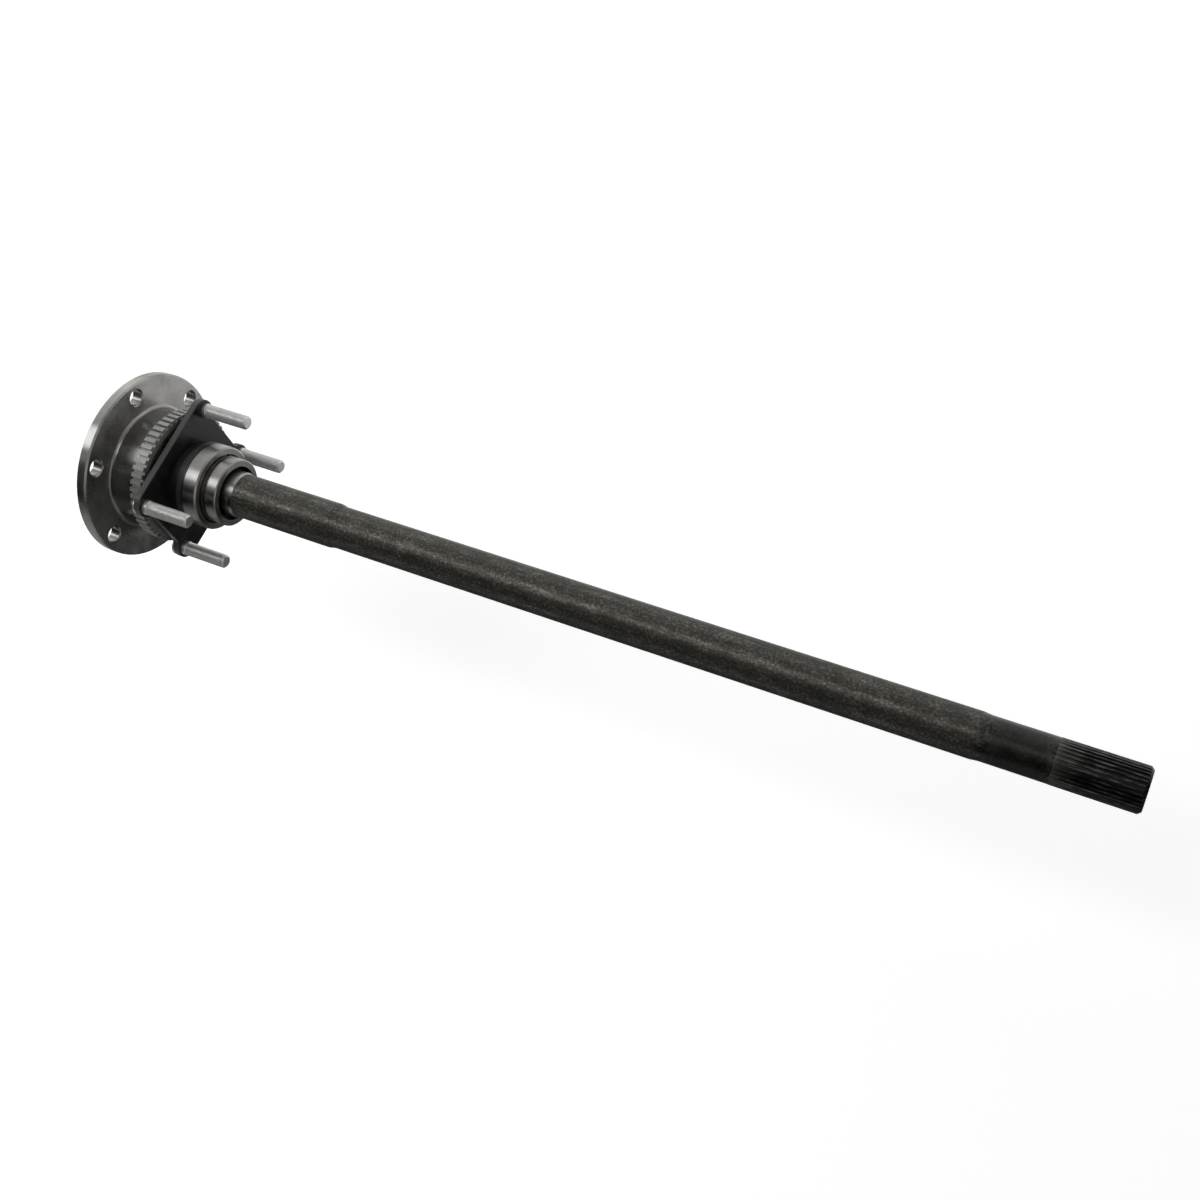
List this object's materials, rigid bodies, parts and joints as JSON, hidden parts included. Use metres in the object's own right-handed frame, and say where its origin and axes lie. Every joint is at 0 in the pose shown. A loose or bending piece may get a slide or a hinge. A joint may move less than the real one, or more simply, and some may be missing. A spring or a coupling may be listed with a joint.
{
  "type": "rear axle shaft",
  "caption": "Rear axle shaft with a drilled wheel flange, toothed speed ring, studded bearing retainer, oil seal, tapered roller bearing, lock collar and splined end.",
  "frame": {"origin": "centre of the wheel bolt circle on the wheel face of the flange", "axes": "+X along the axle towards the splined end, Y along the long side and Z along the short side of the retainer's stud rectangle"},
  "size_m": [0.8801, 0.164, 0.1639],
  "materials": {
    "forged_steel": "black forge scale on the shaft, turned flange and hub",
    "ring_steel": "matt grey",
    "black_paint": "satin black",
    "stud_zinc": "matt zinc grey",
    "seal_black": "black rubber-faced sheet steel",
    "seal_rubber": "moulded",
    "spring_steel": "drawn wire",
    "bearing_steel": "ground",
    "cage_steel": "pressed sheet",
    "collar_steel": "turned"
  },
  "bodies": {
    "retainer": {"retainer_plate": "black_paint", "retainer_studs": "stud_zinc"},
    "bearing_outer": {"bearing_cup": "bearing_steel", "seal_case": "seal_black", "seal_lip": "seal_rubber", "garter_spring": "spring_steel"},
    "axle": {"axle_shaft": "forged_steel", "speed_ring": "ring_steel", "bearing_cone": "bearing_steel", "lock_collar": "collar_steel"},
    "cage": {"bearing_cage": "cage_steel"},
    "roller_01": {"roller_01": "bearing_steel"},
    "roller_02": {"roller_02": "bearing_steel"},
    "roller_03": {"roller_03": "bearing_steel"},
    "roller_04": {"roller_04": "bearing_steel"},
    "roller_05": {"roller_05": "bearing_steel"},
    "roller_06": {"roller_06": "bearing_steel"},
    "roller_07": {"roller_07": "bearing_steel"},
    "roller_08": {"roller_08": "bearing_steel"},
    "roller_09": {"roller_09": "bearing_steel"},
    "roller_10": {"roller_10": "bearing_steel"},
    "roller_11": {"roller_11": "bearing_steel"},
    "roller_12": {"roller_12": "bearing_steel"},
    "roller_13": {"roller_13": "bearing_steel"},
    "roller_14": {"roller_14": "bearing_steel"},
    "roller_15": {"roller_15": "bearing_steel"},
    "roller_16": {"roller_16": "bearing_steel"},
    "roller_17": {"roller_17": "bearing_steel"},
    "roller_18": {"roller_18": "bearing_steel"}
  },
  "joints": [
    {"name": "retainer_slide", "type": "slide", "parent": "retainer", "child": "bearing_outer", "axis": [1, 0, 0], "range_m": [-0.008, 0.0005]},
    {"name": "axle_spin", "type": "hinge", "parent": "bearing_outer", "child": "axle", "pos_m": [0.08, 0, 0], "axis": [1, 0, 0], "continuous": true},
    {"name": "cage_spin", "type": "hinge", "parent": "bearing_outer", "child": "cage", "pos_m": [0.08, 0, 0], "axis": [1, 0, 0], "continuous": true},
    {"name": "roller_01_spin", "type": "hinge", "parent": "cage", "child": "roller_01", "pos_m": [0.07948, 0.02738, 0], "axis": [0.98, 0.1991, 0], "continuous": true},
    {"name": "roller_02_spin", "type": "hinge", "parent": "cage", "child": "roller_02", "pos_m": [0.07948, 0.02573, 0.00937], "axis": [0.98, 0.1871, 0.0681], "continuous": true},
    {"name": "roller_03_spin", "type": "hinge", "parent": "cage", "child": "roller_03", "pos_m": [0.07948, 0.02098, 0.0176], "axis": [0.98, 0.1525, 0.128], "continuous": true},
    {"name": "roller_04_spin", "type": "hinge", "parent": "cage", "child": "roller_04", "pos_m": [0.07948, 0.01369, 0.02371], "axis": [0.98, 0.0995, 0.1724], "continuous": true},
    {"name": "roller_05_spin", "type": "hinge", "parent": "cage", "child": "roller_05", "pos_m": [0.07948, 0.00475, 0.02697], "axis": [0.98, 0.0346, 0.1961], "continuous": true},
    {"name": "roller_06_spin", "type": "hinge", "parent": "cage", "child": "roller_06", "pos_m": [0.07948, -0.00475, 0.02697], "axis": [0.98, -0.0346, 0.1961], "continuous": true},
    {"name": "roller_07_spin", "type": "hinge", "parent": "cage", "child": "roller_07", "pos_m": [0.07948, -0.01369, 0.02371], "axis": [0.98, -0.0995, 0.1724], "continuous": true},
    {"name": "roller_08_spin", "type": "hinge", "parent": "cage", "child": "roller_08", "pos_m": [0.07948, -0.02098, 0.0176], "axis": [0.98, -0.1525, 0.128], "continuous": true},
    {"name": "roller_09_spin", "type": "hinge", "parent": "cage", "child": "roller_09", "pos_m": [0.07948, -0.02573, 0.00937], "axis": [0.98, -0.1871, 0.0681], "continuous": true},
    {"name": "roller_10_spin", "type": "hinge", "parent": "cage", "child": "roller_10", "pos_m": [0.07948, -0.02738, 0], "axis": [0.98, -0.1991, 0], "continuous": true},
    {"name": "roller_11_spin", "type": "hinge", "parent": "cage", "child": "roller_11", "pos_m": [0.07948, -0.02573, -0.00937], "axis": [0.98, -0.1871, -0.0681], "continuous": true},
    {"name": "roller_12_spin", "type": "hinge", "parent": "cage", "child": "roller_12", "pos_m": [0.07948, -0.02098, -0.0176], "axis": [0.98, -0.1525, -0.128], "continuous": true},
    {"name": "roller_13_spin", "type": "hinge", "parent": "cage", "child": "roller_13", "pos_m": [0.07948, -0.01369, -0.02371], "axis": [0.98, -0.0995, -0.1724], "continuous": true},
    {"name": "roller_14_spin", "type": "hinge", "parent": "cage", "child": "roller_14", "pos_m": [0.07948, -0.00475, -0.02697], "axis": [0.98, -0.0346, -0.1961], "continuous": true},
    {"name": "roller_15_spin", "type": "hinge", "parent": "cage", "child": "roller_15", "pos_m": [0.07948, 0.00475, -0.02697], "axis": [0.98, 0.0346, -0.1961], "continuous": true},
    {"name": "roller_16_spin", "type": "hinge", "parent": "cage", "child": "roller_16", "pos_m": [0.07948, 0.01369, -0.02371], "axis": [0.98, 0.0995, -0.1724], "continuous": true},
    {"name": "roller_17_spin", "type": "hinge", "parent": "cage", "child": "roller_17", "pos_m": [0.07948, 0.02098, -0.0176], "axis": [0.98, 0.1525, -0.128], "continuous": true},
    {"name": "roller_18_spin", "type": "hinge", "parent": "cage", "child": "roller_18", "pos_m": [0.07948, 0.02573, -0.00937], "axis": [0.98, 0.1871, -0.0681], "continuous": true}
  ],
  "couplings": [
    {"joint": "cage_spin", "follows": "axle_spin", "ratio": 0.43484},
    {"joint": "roller_01_spin", "follows": "axle_spin", "ratio": -3.6962},
    {"joint": "roller_02_spin", "follows": "axle_spin", "ratio": -3.6962},
    {"joint": "roller_03_spin", "follows": "axle_spin", "ratio": -3.6962},
    {"joint": "roller_04_spin", "follows": "axle_spin", "ratio": -3.6962},
    {"joint": "roller_05_spin", "follows": "axle_spin", "ratio": -3.6962},
    {"joint": "roller_06_spin", "follows": "axle_spin", "ratio": -3.6962},
    {"joint": "roller_07_spin", "follows": "axle_spin", "ratio": -3.6962},
    {"joint": "roller_08_spin", "follows": "axle_spin", "ratio": -3.6962},
    {"joint": "roller_09_spin", "follows": "axle_spin", "ratio": -3.6962},
    {"joint": "roller_10_spin", "follows": "axle_spin", "ratio": -3.6962},
    {"joint": "roller_11_spin", "follows": "axle_spin", "ratio": -3.6962},
    {"joint": "roller_12_spin", "follows": "axle_spin", "ratio": -3.6962},
    {"joint": "roller_13_spin", "follows": "axle_spin", "ratio": -3.6962},
    {"joint": "roller_14_spin", "follows": "axle_spin", "ratio": -3.6962},
    {"joint": "roller_15_spin", "follows": "axle_spin", "ratio": -3.6962},
    {"joint": "roller_16_spin", "follows": "axle_spin", "ratio": -3.6962},
    {"joint": "roller_17_spin", "follows": "axle_spin", "ratio": -3.6962},
    {"joint": "roller_18_spin", "follows": "axle_spin", "ratio": -3.6962}
  ]
}
